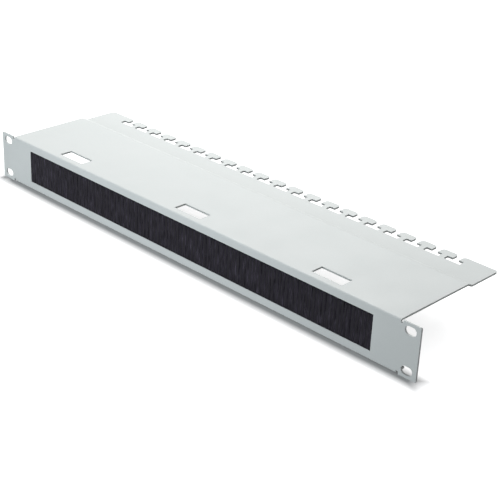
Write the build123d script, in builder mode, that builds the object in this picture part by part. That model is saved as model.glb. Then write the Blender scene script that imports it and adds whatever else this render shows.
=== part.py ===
# Rack cable entry plate, one rack unit tall, in millimetres.
# A folded steel sheet has a brush window in its front panel, and a tray behind it that ends in a
# comb of T-shaped cable tie slots. A strip brush hangs behind the window.
# X runs along the width, +Y towards the rear of the rack and +Z up. The origin is the centre of
# the four mounting slots, on the plane where the ears seat against the rack's rails.

import os
from math import copysign, pi, radians, sin, tan

from build123d import *

# Front panel and ears
PANEL_WIDTH = 482.6
PANEL_HEIGHT = 43.6
EAR_WIDTH = 17.8  # from each end of the panel to the tray
SHEET = 1.5
BEND_RADIUS = 0.2  # inside of every fold of the sheet
EAR_CORNER_RADIUS = 1.0
RELIEF_WIDTH = 2.0  # notch between an ear and the folds beside it
RELIEF_DEPTH = 2.5
FLANGE_DEPTH = 10.0  # stiffening flange along the panel's lower edge

# Mounting slots in the ears, 465.1 apart across and 31.75 apart up as on the rack's rails
RACK_SLOT_INSET_X = 8.75  # from the panel's ends to the slots' centres
RACK_SLOT_INSET_Z = 5.925  # from the panel's long edges to the slots' centres
RACK_SLOT_LENGTH = 10.0
RACK_SLOT_WIDTH = 6.8

# Brush window in the front panel
WINDOW_MARGIN = 24.0  # from each side of the tray to the window
WINDOW_SILL = 7.4  # from the panel's lower edge up to the window

# Tray, with a joggle that lets its rear strip down
PLATE_DEPTH = 117.5  # from the panel's front face to the tray's rear edge
JOGGLE_DROP = 2.5
JOGGLE_ANGLE = 25.0
JOGGLE_RADIUS = 3.0  # inside of the joggle's two bends
REAR_STRIP = 36.0  # from the middle of the joggle to the rear edge
REAR_CORNER_RADIUS = 3.0

# Cable tie slots: a bar across, and a mouth from the bar out to the rear edge
TIE_COUNT = 20
TIE_MARGIN = 23.5  # from each side of the tray to the comb's first pitch
TIE_NECK = 5.0  # sheet left between two bars, where a tie goes round
TIE_MOUTH = 5.5
TIE_HEAD = 7.8  # length of the T heads, from the rear edge to the bars
TIE_BAR_DEPTH = 5.7
TIE_BAR_RADIUS = 0.8
TIE_HEAD_RADIUS = 3.0

# Tongues cut out of the tray and folded down, which grip the brush against the panel
TONGUE_COUNT = 3
TONGUE_PITCH = 149.0
TONGUE_CUT_WIDTH = 29.5
TONGUE_CUT_LENGTH = 12.4  # from the tongue's fold to the rear edge of its cut-out
TONGUE_KERF = 0.2
TONGUE_TIP_RADIUS = 2.0
FOLD_NEUTRAL = 0.4  # neutral line of a fold, as a share of the sheet from its inside

# Strip brush: a crimped channel, a core wire in it, and bristles doubled over the wire
CHANNEL_WIDTH = 4.8
CHANNEL_HEIGHT = 5.1
CHANNEL_SHEET = 0.6
CHANNEL_RADIUS = 0.5  # inside of the channel's two folds
LIP_HEIGHT = 1.6
LIP_PINCH = 0.5  # how far each lip is pressed inwards
BRUSH_OVERLAP = 8.0  # brush past the window at each end
BRUSH_FIT = 0.1  # between the channel and the sheet over and behind it
CORE_WIRE = 1.2

# Bristles
BRISTLE_FIT = 0.05  # between bristles, channel and core wire
BRISTLE_GAP = 0.1  # between bristles and the panel round them
BRISTLE_SET_BACK = 0.1  # behind the panel's front face, in the window
BRISTLE_FLOOR_GAP = 1.5  # between the tips and the lower flange
BRISTLE_BULGE = 1.2  # height over which the bristles swell below the channel
BRISTLE_TAIL_GAP = 0.5  # between the rear bristles and the tongues
TUFT_PITCH = 3.4
TUFT_DEPTH = 0.4

# Widths, planes and heights that several pieces share
tray_width = PANEL_WIDTH - 2 * EAR_WIDTH
window_width = tray_width - 2 * WINDOW_MARGIN
tie_pitch = (tray_width - 2 * TIE_MARGIN) / TIE_COUNT
rack_spacing_x = PANEL_WIDTH - 2 * RACK_SLOT_INSET_X
rack_spacing_z = PANEL_HEIGHT - 2 * RACK_SLOT_INSET_Z

front_y = -SHEET
rear_y = front_y + PLATE_DEPTH
panel_top = PANEL_HEIGHT / 2
panel_bottom = -PANEL_HEIGHT / 2
tray_under = panel_top - SHEET
strip_top = panel_top - JOGGLE_DROP

channel_back_y = CHANNEL_WIDTH
channel_top = tray_under - BRUSH_FIT
channel_mouth = channel_top - CHANNEL_HEIGHT
brush_length = window_width + 2 * BRUSH_OVERLAP

window_bottom = panel_bottom + WINDOW_SILL
window_height = channel_mouth - window_bottom

tongue_front_y = channel_back_y + BRUSH_FIT
tongue_back_y = tongue_front_y + SHEET
tongue_fold_y = tongue_front_y - BEND_RADIUS
tongue_width = TONGUE_CUT_WIDTH - 2 * TONGUE_KERF


def folded_section(corners, inner_radii, thickness):
    """Section of a folded sheet, in the sketch that is open. The corners run clockwise along
    its outer face. A radius is negative where the sheet folds outwards."""
    radii = [radius + thickness if radius > 0 else -radius for radius in inner_radii]
    with BuildLine() as section:
        outer = FilletPolyline(*corners, radius=radii)
        offset(outer, amount=thickness, side=Side.RIGHT)
    make_face(section.edges())


# The folded sheet: flange, front panel, tray, joggle and rear strip share one section
joggle_run = JOGGLE_DROP / tan(radians(JOGGLE_ANGLE))
joggle_y = rear_y - REAR_STRIP
plate_corners = [
    (front_y + FLANGE_DEPTH, panel_bottom),
    (front_y, panel_bottom),
    (front_y, panel_top),
    (joggle_y - joggle_run / 2, panel_top),
    (joggle_y + joggle_run / 2, strip_top),
    (rear_y, strip_top),
]
plate_radii = [BEND_RADIUS, BEND_RADIUS, JOGGLE_RADIUS, -JOGGLE_RADIUS]

tongue_planes = [
    Plane.YZ.offset((index - (TONGUE_COUNT - 1) / 2) * TONGUE_PITCH) for index in range(TONGUE_COUNT)
]
tongue_flat = TONGUE_CUT_LENGTH - TONGUE_KERF
fold_length = pi / 2 * (BEND_RADIUS + FOLD_NEUTRAL * SHEET)
tongue_tip = tray_under - BEND_RADIUS - (tongue_flat - fold_length)

with BuildPart() as entry_plate:
    with BuildSketch(Plane.YZ):
        folded_section(plate_corners, plate_radii, SHEET)
    extrude(amount=tray_width / 2, both=True)

    # The two ears carry on in the plane of the front panel
    with BuildSketch(Plane.XZ):
        RectangleRounded(PANEL_WIDTH, PANEL_HEIGHT, EAR_CORNER_RADIUS)
        Rectangle(tray_width, PANEL_HEIGHT, mode=Mode.SUBTRACT)
        with GridLocations(tray_width + RELIEF_WIDTH, PANEL_HEIGHT - RELIEF_DEPTH, 2, 2):
            Rectangle(RELIEF_WIDTH, RELIEF_DEPTH, mode=Mode.SUBTRACT)
    extrude(amount=SHEET)

    # Mounting slots and the brush window go through the panel
    with BuildSketch(Plane.XZ):
        with GridLocations(rack_spacing_x, rack_spacing_z, 2, 2):
            SlotOverall(RACK_SLOT_LENGTH, RACK_SLOT_WIDTH)
        with Locations((0, window_bottom + window_height / 2)):
            Rectangle(window_width, window_height)
    extrude(amount=SHEET, mode=Mode.SUBTRACT)

    # Cut-outs in the tray, each the size of the tongue that came out of it
    with BuildSketch(Plane.XY.offset(panel_top)):
        with Locations((0, tongue_fold_y)):
            with GridLocations(TONGUE_PITCH, 1, TONGUE_COUNT, 1):
                Rectangle(TONGUE_CUT_WIDTH, TONGUE_CUT_LENGTH, align=(Align.CENTER, Align.MIN))
    extrude(amount=-SHEET, mode=Mode.SUBTRACT)

    # The tongues fold down from the front edges of the cut-outs
    with BuildSketch(*tongue_planes):
        folded_section(
            [
                (tongue_fold_y - SHEET, panel_top),
                (tongue_back_y, panel_top),
                (tongue_back_y, tongue_tip),
            ],
            [BEND_RADIUS],
            SHEET,
        )
    extrude(amount=tongue_width / 2, both=True)
    tips = entry_plate.edges().filter_by(Axis.Y).filter_by_position(
        Axis.Z, tongue_tip - SHEET, tongue_tip + SHEET
    )
    fillet(tips, TONGUE_TIP_RADIUS)

    # Comb of T-shaped slots along the rear edge
    with BuildSketch(Plane.XY.offset(strip_top)) as comb:
        with Locations((0, rear_y - TIE_HEAD)):
            with GridLocations(tie_pitch, 1, TIE_COUNT, 1):
                Rectangle(tie_pitch - TIE_NECK, TIE_BAR_DEPTH, align=(Align.CENTER, Align.MAX))
        fillet(comb.vertices(), TIE_BAR_RADIUS)
        with Locations((0, rear_y)):
            with GridLocations(tie_pitch, 1, TIE_COUNT, 1):
                Rectangle(TIE_MOUTH, TIE_HEAD + TIE_BAR_DEPTH / 2, align=(Align.CENTER, Align.MAX))
    extrude(amount=-SHEET, mode=Mode.SUBTRACT)
    rear_corners = entry_plate.edges().filter_by(Axis.Z).group_by(Axis.Y)[-1].sort_by(Axis.X)
    fillet([rear_corners[0], rear_corners[-1]], REAR_CORNER_RADIUS)
    head_corners = entry_plate.edges().filter_by(Axis.Z).group_by(Axis.Y)[-1]
    fillet(head_corners, TIE_HEAD_RADIUS)


# The brush channel, open downwards, with its lips pressed in on the bristles
channel_corners = [
    (LIP_PINCH, channel_mouth),
    (0, channel_mouth + LIP_HEIGHT),
    (0, channel_top),
    (channel_back_y, channel_top),
    (channel_back_y, channel_mouth + LIP_HEIGHT),
    (channel_back_y - LIP_PINCH, channel_mouth),
]
channel_radii = [CHANNEL_RADIUS] * (len(channel_corners) - 2)

with BuildPart() as brush_channel:
    with BuildSketch(Plane.YZ):
        folded_section(channel_corners, channel_radii, CHANNEL_SHEET)
    extrude(amount=brush_length / 2, both=True)


# The core wire lies in the fold of the bristles, near the top of the channel
cavity_top = channel_top - CHANNEL_SHEET - BRISTLE_FIT
cavity_width = CHANNEL_WIDTH - 2 * (CHANNEL_SHEET + BRISTLE_FIT)
wire_z = cavity_top - cavity_width / 2
channel_middle_y = CHANNEL_WIDTH / 2

with BuildPart() as brush_core_wire:
    with BuildSketch(Plane.YZ):
        with Locations((channel_middle_y, wire_z)):
            Circle(CORE_WIRE / 2)
    extrude(amount=brush_length / 2, both=True)


def tuft_plan(half_length, plain_y, crest_y):
    """Plan of a row of bristles, in the sketch that is open. It is plain at plain_y, and has its
    tufts at crest_y, which vary a little in width."""
    valley_y = crest_y - copysign(TUFT_DEPTH, crest_y - plain_y)
    count = round(2 * half_length / TUFT_PITCH)
    shares = [1 + 0.3 * sin(1.7 * abs(index - (count - 1) / 2)) for index in range(count)]
    points = [(-half_length, plain_y)]
    left = -half_length
    for share in shares:
        width = 2 * half_length * share / sum(shares)
        points += [(left, valley_y), (left + width / 4, crest_y), (left + width * 3 / 4, crest_y)]
        left += width
    points += [(half_length, valley_y), (half_length, plain_y)]
    Polygon(*points, align=None)


# The bristles: a neck in the channel, a curtain behind the panel, and a swelling that fills
# the window
bristle_tip = panel_bottom + SHEET + BRISTLE_FLOOR_GAP
curtain_top = channel_mouth - BRISTLE_BULGE
curtain_front_y = BRISTLE_GAP
curtain_back_y = tongue_front_y - BRISTLE_TAIL_GAP
window_half = window_width / 2 - BRISTLE_GAP
swell_front_y = front_y + BRISTLE_SET_BACK
swell_bottom = window_bottom + BRISTLE_GAP
neck_half = CHANNEL_WIDTH / 2 - LIP_PINCH - CHANNEL_SHEET - BRISTLE_FIT
neck_shoulder = channel_mouth + LIP_HEIGHT + CHANNEL_SHEET * LIP_PINCH / LIP_HEIGHT

with BuildPart() as brush_bristles:
    with BuildSketch(Plane.XY.offset(bristle_tip)):
        tuft_plan(brush_length / 2 - BRISTLE_GAP, curtain_front_y, curtain_back_y)
    extrude(amount=curtain_top - bristle_tip)
    with BuildSketch(Plane.XY.offset(swell_bottom)):
        tuft_plan(window_half, curtain_front_y, swell_front_y)
    extrude(amount=curtain_top - swell_bottom)
    with BuildSketch(Plane.YZ):
        with BuildLine():
            front = Polyline(
                (curtain_front_y, curtain_top),
                (channel_middle_y - neck_half, channel_mouth),
                (channel_middle_y - cavity_width / 2, neck_shoulder),
                (channel_middle_y - cavity_width / 2, wire_z),
            )
            back = Polyline(
                (channel_middle_y + cavity_width / 2, wire_z),
                (channel_middle_y + cavity_width / 2, neck_shoulder),
                (channel_middle_y + neck_half, channel_mouth),
                (curtain_back_y - TUFT_DEPTH, curtain_top),
                (curtain_front_y, curtain_top),
            )
            ThreePointArc(front @ 1, (channel_middle_y, cavity_top), back @ 0)
        make_face()
        with Locations((channel_middle_y, wire_z)):
            Circle(CORE_WIRE / 2 + BRISTLE_FIT, mode=Mode.SUBTRACT)
    extrude(amount=brush_length / 2 - BRISTLE_GAP, both=True)
    with BuildSketch(Plane.YZ):
        Polygon(
            (swell_front_y + TUFT_DEPTH, curtain_top),
            (channel_middle_y - neck_half, channel_mouth),
            (curtain_front_y, curtain_top),
            align=None,
        )
    extrude(amount=window_half, both=True)


os.makedirs("parts", exist_ok=True)
for piece, label in (
    (entry_plate, "entry_plate"),
    (brush_channel, "brush_channel"),
    (brush_core_wire, "brush_core_wire"),
    (brush_bristles, "brush_bristles"),
):
    piece.part.label = label
    export_step(piece.part, f"parts/{label}.step")
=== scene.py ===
# Dresses the rack cable entry plate: powder-coated sheet, galvanised channel and black filaments,
# on a plain pale floor under soft studio light. Lengths are in metres, colours are linear.
import math

import bpy
import numpy as np
from mathutils import Matrix, Vector


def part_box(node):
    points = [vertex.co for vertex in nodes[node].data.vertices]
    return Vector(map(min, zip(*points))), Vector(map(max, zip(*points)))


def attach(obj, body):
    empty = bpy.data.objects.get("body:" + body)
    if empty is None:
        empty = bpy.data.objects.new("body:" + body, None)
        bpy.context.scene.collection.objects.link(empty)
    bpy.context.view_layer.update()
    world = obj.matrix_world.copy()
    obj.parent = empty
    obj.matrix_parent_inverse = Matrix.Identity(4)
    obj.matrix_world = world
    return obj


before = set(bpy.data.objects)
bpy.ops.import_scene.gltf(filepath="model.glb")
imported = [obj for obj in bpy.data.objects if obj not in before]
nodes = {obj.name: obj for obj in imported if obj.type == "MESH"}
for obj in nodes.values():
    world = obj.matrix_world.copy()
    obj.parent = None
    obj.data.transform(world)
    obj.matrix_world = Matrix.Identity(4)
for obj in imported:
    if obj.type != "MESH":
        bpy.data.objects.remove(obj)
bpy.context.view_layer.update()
MM = 0.001


# Shader nodes

# A noise texture's values lie mostly within this range
NOISE_RANGE = (0.3, 0.7)


def empty_tree(owner, output_type):
    """The emptied node tree of a material or world, and a new output node in it."""
    owner.use_nodes = True
    tree = owner.node_tree
    tree.nodes.clear()
    return tree, tree.nodes.new(output_type)


def new_material(name):
    """A node material, its node tree and the shader at its output."""
    material = bpy.data.materials.new(name)
    tree, output = empty_tree(material, "ShaderNodeOutputMaterial")
    shader = tree.nodes.new("ShaderNodeBsdfPrincipled")
    tree.links.new(shader.outputs["BSDF"], output.inputs["Surface"])
    return material, tree, shader


def stretch(tree, vector, scale):
    """The vector multiplied by scale, axis by axis."""
    node = tree.nodes.new("ShaderNodeMapping")
    node.inputs["Scale"].default_value = scale
    tree.links.new(vector, node.inputs["Vector"])
    return node.outputs["Vector"]


def place(tree, scale=(1, 1, 1)):
    """The object's own coordinates, in metres, stretched by scale."""
    node = tree.nodes.new("ShaderNodeTexCoord")
    return stretch(tree, node.outputs["Object"], scale)


def separate(tree, vector):
    """A node whose outputs are the vector's X, Y and Z."""
    node = tree.nodes.new("ShaderNodeSeparateXYZ")
    tree.links.new(vector, node.inputs["Vector"])
    return node


def noise(tree, vector, scale, detail=2.0, roughness=0.5):
    """The value of a noise texture."""
    node = tree.nodes.new("ShaderNodeTexNoise")
    node.inputs["Scale"].default_value = scale
    node.inputs["Detail"].default_value = detail
    node.inputs["Roughness"].default_value = roughness
    tree.links.new(vector, node.inputs["Vector"])
    return node.outputs["Fac"]


def spread(tree, value, old_range, new_range):
    """The value mapped from old_range to new_range, and held within it."""
    node = tree.nodes.new("ShaderNodeMapRange")
    names = ("From Min", "From Max", "To Min", "To Max")
    for name, number in zip(names, (*old_range, *new_range)):
        node.inputs[name].default_value = number
    tree.links.new(value, node.inputs["Value"])
    return node.outputs["Result"]


def calculate(tree, operation, *values):
    """The result of one Math node with its inputs linked to values."""
    node = tree.nodes.new("ShaderNodeMath")
    node.operation = operation
    for value, socket in zip(values, node.inputs):
        tree.links.new(value, socket)
    return node.outputs[0]


def two_tone(tree, value, tones):
    """A colour between two tones, by value."""
    node = tree.nodes.new("ShaderNodeMix")
    node.data_type = "RGBA"
    node.inputs["A"].default_value = (*tones[0], 1)
    node.inputs["B"].default_value = (*tones[1], 1)
    tree.links.new(value, node.inputs["Factor"])
    return node.outputs["Result"]


def blend_colours(tree, share, first, second):
    """Two linked colours blended, share being the second one's part."""
    node = tree.nodes.new("ShaderNodeMix")
    node.data_type = "RGBA"
    node.inputs["Factor"].default_value = share
    tree.links.new(first, node.inputs["A"])
    tree.links.new(second, node.inputs["B"])
    return node.outputs["Result"]


def bump(tree, height, distance, strength, normal=None):
    """A normal tilted by height, on top of another normal if one is given."""
    node = tree.nodes.new("ShaderNodeBump")
    node.inputs["Distance"].default_value = distance
    node.inputs["Strength"].default_value = strength
    tree.links.new(height, node.inputs["Height"])
    if normal is not None:
        tree.links.new(normal, node.inputs["Normal"])
    return node.outputs["Normal"]


# Materials

# Tones are the two colours that a pattern varies between. Lines, streaks, clumps and drift are a
# pattern's scale along X, Y and Z.
COAT_TONES = ((0.574, 0.601, 0.59), (0.59, 0.614, 0.603))
FLECK_TONES = ((0.559, 0.588, 0.578), (0.614, 0.634, 0.622))
FLECK_SHARE = 0.35
FLECK_RANGE = (0.35, 0.65)
COAT_ROUGHNESS = (0.46, 0.58)
EDGE_RADIUS = 0.28 * MM

ZINC_TONES = ((0.52, 0.54, 0.56), (0.68, 0.69, 0.7))
ZINC_ROUGHNESS = (0.32, 0.5)
ROLLING_LINES = (12, 2200, 2200)

WIRE_TONES = ((0.4, 0.4, 0.41), (0.6, 0.6, 0.61))
WIRE_ROUGHNESS = (0.25, 0.42)
DRAWING_LINES = (20, 4000, 4000)

# The bristle solid's tones: black nylon darkened further to near black, painted shade between the
# filaments over it, so that its crests and valleys don't show.
MASS_NYLON_AND_SHADE_TONES = ((0.005, 0.0045, 0.0066), (0.013, 0.0118, 0.0172))
MASS_STREAKS = (1400, 1400, 110)
FILAMENT_TONES = ((0.009, 0.008, 0.0118), (0.106, 0.095, 0.126))
FILAMENT_STREAKS = (500, 500, 110)
NYLON_ROUGHNESS = (0.5, 0.68)
CLUMPS = (260, 260, 90)
CLUMP_SHARE = (0.3, 1)
DRIFT = (150, 150, 55)
DRIFT_REACH = 1.2 * MM


def powder_coat():
    """Light grey powder coat: cloudy tone, fine flecks, orange peel, grain and softened edges."""
    material, tree, shader = new_material("powder_coat")
    vector = place(tree)
    clouds = noise(tree, vector, scale=14, detail=3)
    specks = noise(tree, vector, scale=1500, roughness=0.6)
    tone = two_tone(tree, spread(tree, clouds, NOISE_RANGE, (0, 1)), COAT_TONES)
    flecks = two_tone(tree, spread(tree, specks, FLECK_RANGE, (0, 1)), FLECK_TONES)
    colour = blend_colours(tree, FLECK_SHARE, tone, flecks)
    tree.links.new(colour, shader.inputs["Base Color"])
    patches = noise(tree, vector, scale=40, detail=4)
    tree.links.new(spread(tree, patches, NOISE_RANGE, COAT_ROUGHNESS), shader.inputs["Roughness"])
    shader.inputs["Specular IOR Level"].default_value = 0.42
    edge = tree.nodes.new("ShaderNodeBevel")
    edge.samples = 4
    edge.inputs["Radius"].default_value = EDGE_RADIUS
    peel = noise(tree, vector, scale=420)
    grain = noise(tree, vector, scale=2600, roughness=0.6)
    normal = bump(tree, peel, distance=0.02 * MM, strength=0.5, normal=edge.outputs["Normal"])
    normal = bump(tree, grain, distance=0.008 * MM, strength=0.45, normal=normal)
    tree.links.new(normal, shader.inputs["Normal"])
    return material


def galvanised():
    """Zinc-coated strip: small spangles, with fine rolling lines along the strip."""
    material, tree, shader = new_material("galvanised_strip")
    cells = tree.nodes.new("ShaderNodeTexVoronoi")
    cells.inputs["Scale"].default_value = 420
    tree.links.new(place(tree), cells.inputs["Vector"])
    spangle = tree.nodes.new("ShaderNodeSeparateColor")
    tree.links.new(cells.outputs["Color"], spangle.inputs["Color"])
    colour = two_tone(tree, spangle.outputs["Red"], ZINC_TONES)
    tree.links.new(colour, shader.inputs["Base Color"])
    shader.inputs["Metallic"].default_value = 1.0
    roughness = spread(tree, spangle.outputs["Green"], (0, 1), ZINC_ROUGHNESS)
    tree.links.new(roughness, shader.inputs["Roughness"])
    lines = noise(tree, place(tree, ROLLING_LINES), scale=1, detail=3)
    normal = bump(tree, lines, distance=0.01 * MM, strength=0.4)
    tree.links.new(normal, shader.inputs["Normal"])
    return material


def drawn_wire():
    """Bright drawn wire with fine lines along its length."""
    material, tree, shader = new_material("drawn_wire")
    lines = noise(tree, place(tree, DRAWING_LINES), scale=1, detail=3)
    tree.links.new(two_tone(tree, lines, WIRE_TONES), shader.inputs["Base Color"])
    shader.inputs["Metallic"].default_value = 1.0
    tree.links.new(spread(tree, lines, NOISE_RANGE, WIRE_ROUGHNESS), shader.inputs["Roughness"])
    normal = bump(tree, lines, distance=0.01 * MM, strength=0.5)
    tree.links.new(normal, shader.inputs["Normal"])
    return material


def leaning(tree, scale):
    """The object's own coordinates, stretched by scale, with X pushed about a little, so that
    streaks along Z lean one way and the other."""
    drift = noise(tree, place(tree, DRIFT), scale=1)
    offset = tree.nodes.new("ShaderNodeCombineXYZ")
    push = spread(tree, drift, NOISE_RANGE, (-DRIFT_REACH, DRIFT_REACH))
    tree.links.new(push, offset.inputs["X"])
    moved = tree.nodes.new("ShaderNodeVectorMath")
    moved.operation = "ADD"
    tree.links.new(place(tree), moved.inputs[0])
    tree.links.new(offset.outputs["Vector"], moved.inputs[1])
    return stretch(tree, moved.outputs["Vector"], scale)


def black_nylon(name, tones, streaks):
    """Black nylon filaments: each strand differs a little in tone and sheen."""
    material, tree, shader = new_material(name)
    strands = noise(tree, leaning(tree, streaks), scale=1, roughness=0.6)
    clumps = noise(tree, leaning(tree, CLUMPS), scale=1)
    light_strand = spread(tree, strands, NOISE_RANGE, (0, 1))
    light_clump = spread(tree, clumps, NOISE_RANGE, CLUMP_SHARE)
    share = calculate(tree, "MULTIPLY", light_strand, light_clump)
    tree.links.new(two_tone(tree, share, tones), shader.inputs["Base Color"])
    roughness = spread(tree, strands, NOISE_RANGE, NYLON_ROUGHNESS)
    tree.links.new(roughness, shader.inputs["Roughness"])
    shader.inputs["Specular IOR Level"].default_value = 0.13
    normal = bump(tree, strands, distance=0.12 * MM, strength=0.6)
    tree.links.new(normal, shader.inputs["Normal"])
    return material


def set_material(obj, material):
    """Makes material the object's only one."""
    obj.data.materials.clear()
    obj.data.materials.append(material)


set_material(nodes["entry_plate"], powder_coat())
set_material(nodes["brush_channel"], galvanised())
set_material(nodes["brush_core_wire"], drawn_wire())
# The bristle solid gets near-black tones, painted shade between the filaments.
set_material(nodes["brush_bristles"], black_nylon("bristle_mass", MASS_NYLON_AND_SHADE_TONES, MASS_STREAKS))


# Bristles: single filaments over the front and back of the bristle solid

# A filament has three sides and a thinner tip. It starts off its place by a share of the pitch,
# bends aside towards its tip as its clump does, and has a slight wave.
SIDES = 3
TIP_TAPER = 0.45
JITTER = 0.3
CLUMP_WIDTH = 2 * MM
LEAN_CURVE = 1.4
WAVE_HEIGHT = 0.1 * MM
WAVE_ANGLE = 5
SEED = 7

rng = np.random.default_rng(SEED)
nylon = black_nylon("nylon_filaments", FILAMENT_TONES, FILAMENT_STREAKS)


def row_of_filaments(half_length, pitch, heights, depths, sway):
    """Routes of one row, as an array (filament, station, xyz). heights and depths are the
    stations' z and y from the root to the tip, each a (low, high) pair. sway is how far a tip
    leans aside."""
    count = int(2 * half_length / pitch)
    x = np.linspace(-half_length, half_length, count) + rng.uniform(-JITTER, JITTER, count) * pitch
    x = np.clip(x, -half_length, half_length)
    clump_x = np.arange(-half_length - CLUMP_WIDTH, half_length + CLUMP_WIDTH, CLUMP_WIDTH)
    clump_lean = rng.normal(0, 2 * sway, len(clump_x))
    lean = np.interp(x, clump_x, clump_lean) + rng.normal(0, sway, count)
    wave = rng.uniform(0, 2 * math.pi, count)
    station = np.linspace(0, 1, len(heights))
    along = x[:, None] + lean[:, None] * station[None, :] ** LEAN_CURVE
    along += WAVE_HEIGHT * np.sin(wave[:, None] + station[None, :] * WAVE_ANGLE) * station[None, :]
    along = np.clip(along, -half_length, half_length)
    z = np.stack([rng.uniform(low, high, count) for low, high in heights], axis=1)
    y = np.stack([rng.uniform(low, high, count) for low, high in depths], axis=1)
    return np.stack([along, y, z], axis=-1)


def filaments(name, rows, radii):
    """One mesh of three-sided filaments on the routes of all rows. radii are the thinnest and the
    thickest filament's."""
    routes = np.concatenate(rows)
    count, stations = routes.shape[:2]
    start_angles = rng.uniform(0, 2 * math.pi, count)
    radius = rng.uniform(*radii, count)
    angles = start_angles[:, None] + np.arange(SIDES)[None, :] * 2 * math.pi / SIDES
    ring = np.stack([np.cos(angles), np.sin(angles), np.zeros_like(angles)], axis=-1)
    taper = np.ones(stations)
    taper[-1] = TIP_TAPER
    section = ring[:, None, :, :] * radius[:, None, None, None] * taper[None, :, None, None]
    points = routes[:, :, None, :] + section

    first = (np.arange(count) * stations * SIDES)[:, None, None]
    level = first + (np.arange(stations - 1) * SIDES)[None, :, None]
    side = np.arange(SIDES)[None, None, :]
    next_side = (side + 1) % SIDES
    corners = [level + side, level + side + SIDES, level + next_side + SIDES, level + next_side]
    walls = np.stack(corners, axis=-1).reshape(-1, 4)
    root_ends = first[:, :, 0] + np.arange(SIDES)
    tip_ends = first[:, :, 0] + (stations - 1) * SIDES + np.arange(SIDES)[::-1]
    faces = walls.tolist() + root_ends.tolist() + tip_ends.tolist()

    mesh = bpy.data.meshes.new(name)
    mesh.from_pydata(points.reshape(-1, 3).tolist(), [], faces)
    mesh.update()
    for polygon in mesh.polygons:
        polygon.use_smooth = True
    obj = bpy.data.objects.new(name, mesh)
    bpy.context.scene.collection.objects.link(obj)
    mesh.materials.append(nylon)
    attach(obj, "root")


def band(base, low, high):
    """A (low, high) pair, given in millimetres from base."""
    return base + low * MM, base + high * MM


bristle_low, bristle_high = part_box("brush_bristles")
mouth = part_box("brush_channel")[0].z
tips = bristle_low.z

WINDOW_HALF = 199.3 * MM
WINDOW_SILL = -14.4 * MM

# Each row's pitch, the lean of its tips, its thinnest and thickest radius, and how far the rows
# lie behind the front or the back of the bristle solid
FRONT_PITCH = 0.3 * MM
FRONT_SWAY = 0.35 * MM
FRONT_RADII = (0.1 * MM, 0.12 * MM)
FRONT_OFFSETS = (0.03 * MM, 0.14 * MM, 0.3 * MM)
BACK_PITCH = 0.34 * MM
BACK_SWAY = 0.9 * MM
BACK_RADII = (0.11 * MM, 0.15 * MM)
BACK_OFFSETS = (0.02 * MM, -0.22 * MM)

# A filament's stations are its root in the channel's mouth, the bend below it, the middle, a
# place low down, and the tip, which is at the window's sill in front.
front_heights = [
    (mouth, mouth),
    band(mouth, -1.5, -1.0),
    band(0, 0, 2),
    band(0, -12.6, -12.0),
    band(WINDOW_SILL, 0.02, 0.2),
]
front_rows = []
for offset in FRONT_OFFSETS:
    depth = bristle_low.y + offset
    hanging = band(depth, 0, 0.1)
    depths = [band(0, 1.3, 2.4), band(depth, 0, 0.15), hanging, hanging, hanging]
    row = row_of_filaments(WINDOW_HALF, FRONT_PITCH, front_heights, depths, FRONT_SWAY)
    front_rows.append(row)
filaments("front_filaments", front_rows, FRONT_RADII)

back_half = bristle_high.x - 0.2 * MM
back_heights = [
    (mouth, mouth),
    band(mouth, -1.6, -1.0),
    band(0, 0, 2),
    band(tips, 6, 7),
    band(tips, -1.1, 0.1),
]
back_rows = []
for offset in BACK_OFFSETS:
    depth = bristle_high.y + offset
    depths = [
        band(0, 2.6, 3.4),
        band(depth, -0.1, 0.05),
        band(depth, -0.1, 0.08),
        band(depth, -0.15, 0.15),
        band(depth, -0.5, 0.5),
    ]
    row = row_of_filaments(back_half, BACK_PITCH, back_heights, depths, BACK_SWAY)
    back_rows.append(row)
filaments("rear_filaments", back_rows, BACK_RADII)


# Stage

# The floor's colour as the object is lit by it, and as it is seen
FLOOR_TONES = ((0.16, 0.16, 0.16), (0.55, 0.55, 0.55))

# Painted light: the glow that the floor adds under the tray and further off, which pales its real
# shadow there
UNDER_LIFT = 0.82
FAR_LIFT = 0.95

# Where that glow grows: in front of the panel, past the ears, behind the panel and past the tray
FRONT_ZONE = (-0.004, -0.0125)
EAR_ZONE = (0.236, 0.252)
PANEL_ZONE = (0, 0.01)
TRAY_ZONE = (0.2, 0.235)

FLOOR_HALF = 8.0
FLOOR_GAP = 0.05 * MM

DOME_COLOUR = (0.96, 0.98, 1.0, 1)
DOME_STRENGTH = (0.38, 0.28)


def floor_lift(tree):
    """The glow that the floor adds where it is looked at: painted light that pales the floor's
    real shadow. It adds none in a narrow band right in front of the panel, so that the contact
    shadow shows only there, and less under the tray than further off."""
    spot = separate(tree, place(tree))
    aside = calculate(tree, "ABSOLUTE", spot.outputs["X"])
    in_front = spread(tree, spot.outputs["Y"], FRONT_ZONE, (0, FAR_LIFT))
    beside = spread(tree, aside, EAR_ZONE, (0, FAR_LIFT))
    past_panel = spread(tree, spot.outputs["Y"], PANEL_ZONE, (0, 1))
    past_tray = spread(tree, aside, TRAY_ZONE, (UNDER_LIFT, FAR_LIFT))
    behind = calculate(tree, "MULTIPLY", past_panel, past_tray)
    return calculate(tree, "MAXIMUM", in_front, calculate(tree, "MAXIMUM", beside, behind))


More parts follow.
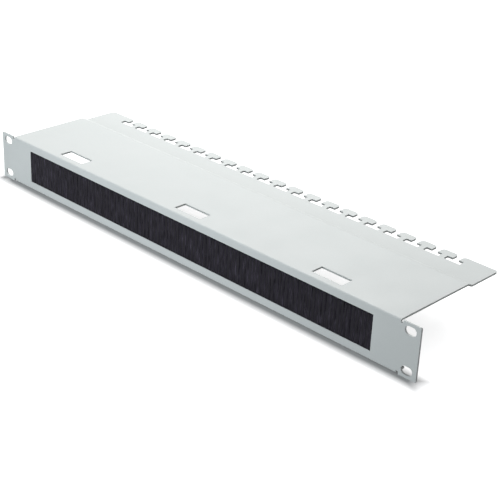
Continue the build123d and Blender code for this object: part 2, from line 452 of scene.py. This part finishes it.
def pale_floor():
    """Pale floor that keeps shadows, and looks nearly white where it is seen or reflected, by a
    painted glow that pales those shadows away from the panel.
    """
    material = bpy.data.materials.new("pale_floor")
    tree, output = empty_tree(material, "ShaderNodeOutputMaterial")
    diffuse = tree.nodes.new("ShaderNodeBsdfDiffuse")
    glow = tree.nodes.new("ShaderNodeEmission")
    path = tree.nodes.new("ShaderNodeLightPath")
    camera_ray = path.outputs["Is Camera Ray"]
    glossy_ray = path.outputs["Is Glossy Ray"]
    seen = calculate(tree, "MAXIMUM", camera_ray, glossy_ray)
    tree.links.new(two_tone(tree, seen, FLOOR_TONES), diffuse.inputs["Color"])
    looked_at = calculate(tree, "MULTIPLY", camera_ray, floor_lift(tree))
    reflected = spread(tree, glossy_ray, (0, 1), (0, FAR_LIFT))
    tree.links.new(calculate(tree, "MAXIMUM", looked_at, reflected), glow.inputs["Strength"])
    total = tree.nodes.new("ShaderNodeAddShader")
    tree.links.new(diffuse.outputs[0], total.inputs[0])
    tree.links.new(glow.outputs[0], total.inputs[1])
    tree.links.new(total.outputs[0], output.inputs["Surface"])
    return material


def studio_world():
    """A dome of light, a little stronger on the left, which looks plain white where it is seen,
    also in reflections and through glass."""
    world = bpy.data.worlds.new("studio")
    tree, output = empty_tree(world, "ShaderNodeOutputWorld")
    dome = tree.nodes.new("ShaderNodeBackground")
    dome.inputs["Color"].default_value = DOME_COLOUR
    bearing = tree.nodes.new("ShaderNodeTexCoord")
    direction = separate(tree, bearing.outputs["Generated"])
    strength = spread(tree, direction.outputs["X"], (-1, 1), DOME_STRENGTH)
    tree.links.new(strength, dome.inputs["Strength"])
    plain = tree.nodes.new("ShaderNodeBackground")
    plain.inputs["Color"].default_value = (1, 1, 1, 1)
    plain.inputs["Strength"].default_value = 1.0
    path = tree.nodes.new("ShaderNodeLightPath")
    seen = path.outputs["Is Camera Ray"]
    for ray in ("Is Transmission Ray", "Is Glossy Ray"):
        seen = calculate(tree, "MAXIMUM", seen, path.outputs[ray])
    mix = tree.nodes.new("ShaderNodeMixShader")
    tree.links.new(seen, mix.inputs["Fac"])
    tree.links.new(dome.outputs[0], mix.inputs[1])
    tree.links.new(plain.outputs[0], mix.inputs[2])
    tree.links.new(mix.outputs[0], output.inputs["Surface"])
    return world


def softbox(name, place_at, aim, width, height, power, colour=(1, 1, 1)):
    """A rectangular area lamp that points at aim."""
    lamp = bpy.data.lights.new(name, "AREA")
    lamp.shape = "RECTANGLE"
    lamp.size = width
    lamp.size_y = height
    lamp.energy = power
    lamp.color = colour
    obj = bpy.data.objects.new(name, lamp)
    obj.location = place_at
    direction = Vector(aim) - Vector(place_at)
    obj.rotation_euler = direction.to_track_quat("-Z", "Y").to_euler()
    bpy.context.scene.collection.objects.link(obj)
    return obj


floor_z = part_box("entry_plate")[0].z - FLOOR_GAP
floor_corners = [(-1, -1), (1, -1), (1, 1), (-1, 1)]
floor_mesh = bpy.data.meshes.new("floor")
floor_mesh.from_pydata(
    [(x * FLOOR_HALF, y * FLOOR_HALF, floor_z) for x, y in floor_corners], [], [(0, 1, 2, 3)]
)
floor_mesh.materials.append(pale_floor())
floor = bpy.data.objects.new("floor", floor_mesh)
bpy.context.scene.collection.objects.link(floor)

bpy.context.scene.world = studio_world()

softbox("key", place_at=(-0.33, 0.46, 0.8), aim=(-0.1, 0.05, 0), width=0.6, height=0.6, power=9.3)

# The fill is out of reflections, so that it leaves no white patch on the tray seen from behind.
fill = softbox(
    "front_fill", place_at=(-0.08, -0.6, 0.08), aim=(-0.08, 0, 0),
    width=0.3, height=0.18, power=2.66, colour=(0.88, 0.94, 0.985),
)
fill.visible_glossy = False


# Camera: the photo's place and lens, and the directions of its picture

LENS = 90.07
LOCATION = (0.664141, -0.622053, 0.438317)
RIGHT = Vector((0.7117258, 0.7011950, 0.0420939))
DOWN = Vector((0.3359252, -0.2871183, -0.8970604))
AHEAD = Vector((-0.6169283, 0.6526015, -0.4398986))

camera_data = bpy.data.cameras.new("camera")
camera_data.sensor_fit = "HORIZONTAL"
camera_data.sensor_width = 36.0
camera_data.lens = LENS
camera_data.clip_start = 0.01
camera_data.clip_end = 50
camera = bpy.data.objects.new("camera", camera_data)
turn = Matrix((RIGHT, -DOWN, -AHEAD)).transposed().to_4x4()
camera.matrix_world = Matrix.Translation(LOCATION) @ turn
bpy.context.scene.collection.objects.link(camera)
bpy.context.scene.camera = camera

bpy.context.scene.view_settings.view_transform = "Standard"

bpy.context.view_layer.update()
